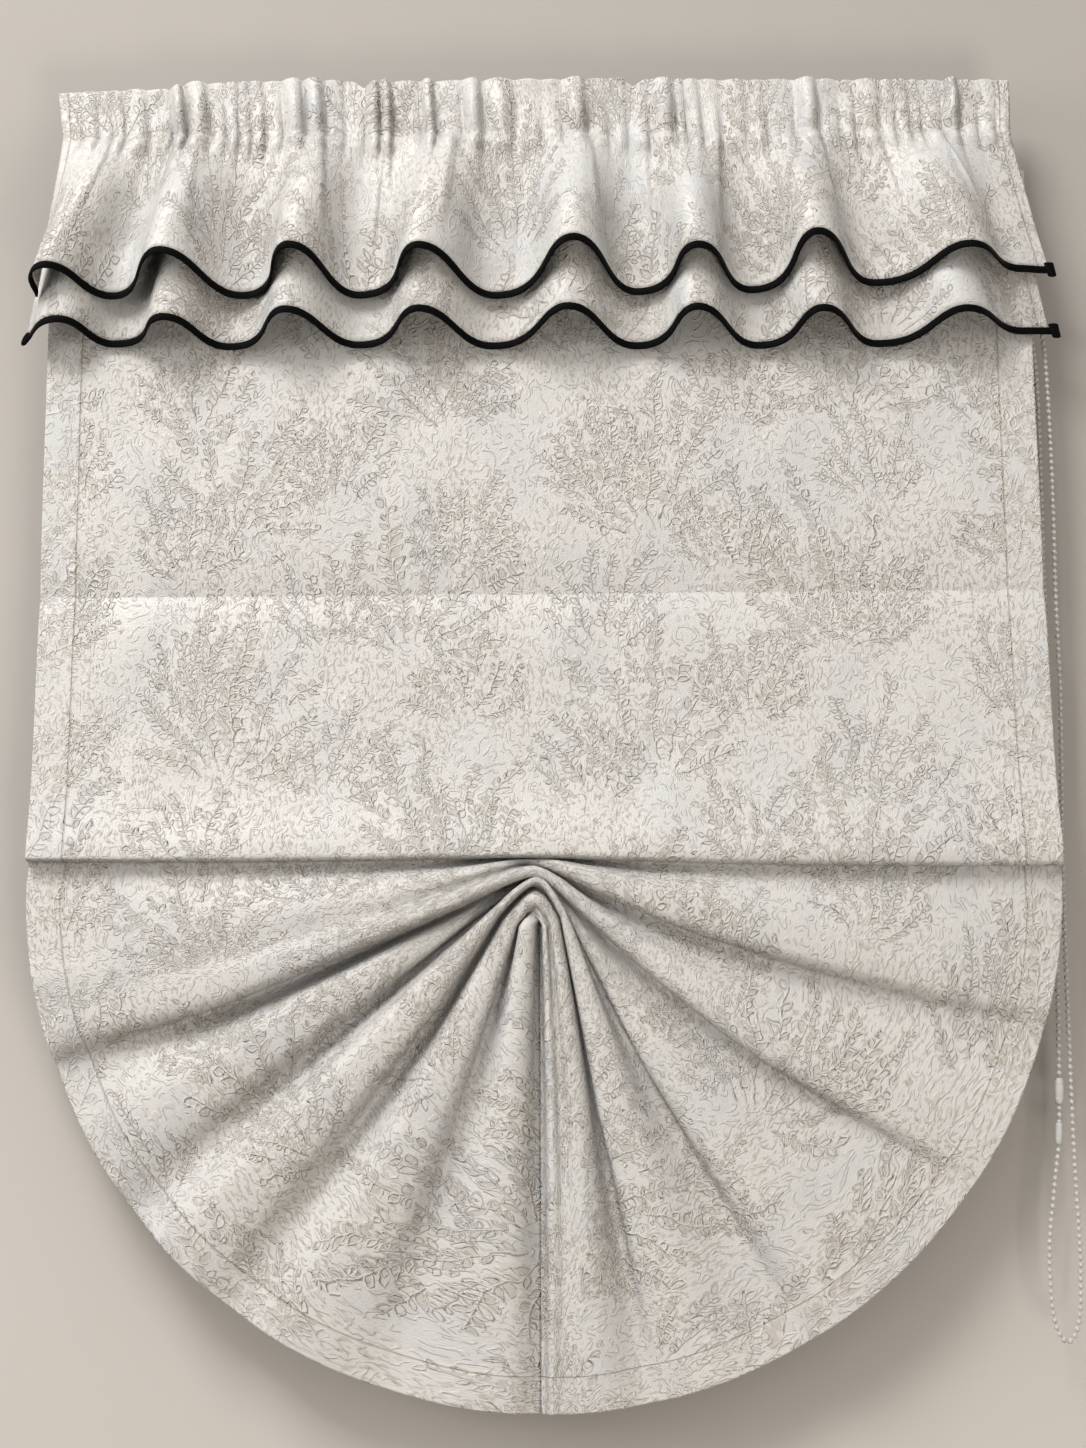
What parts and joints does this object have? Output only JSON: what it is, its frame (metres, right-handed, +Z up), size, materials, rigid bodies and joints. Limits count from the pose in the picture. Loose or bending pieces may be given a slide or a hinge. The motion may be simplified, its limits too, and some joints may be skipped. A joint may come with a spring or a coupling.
{
  "type": "fan roman blind",
  "caption": "Roman blind of white figured cloth, its lower half drawn up into a half-round fan, under a gathered heading with two bound skirts, with a bead chain at its right side.",
  "frame": {"origin": "middle of the panel's top edge, in the plane the panel hangs in", "axes": "+X to the right as seen from the room, the front faces -Y, +Z up"},
  "size_m": [0.9411, 0.0859, 1.2019],
  "materials": {
    "cloth": "satin",
    "binding": "satin",
    "chain": "gloss"
  },
  "bodies": {
    "root": {"panel": "cloth", "valance_front": "cloth", "valance_back": "cloth", "binding_front": "binding", "binding_back": "binding", "bead_chain": "chain", "chain_connector_a": "chain", "chain_connector_b": "chain", "chain_drive": "chain"}
  },
  "joints": []
}
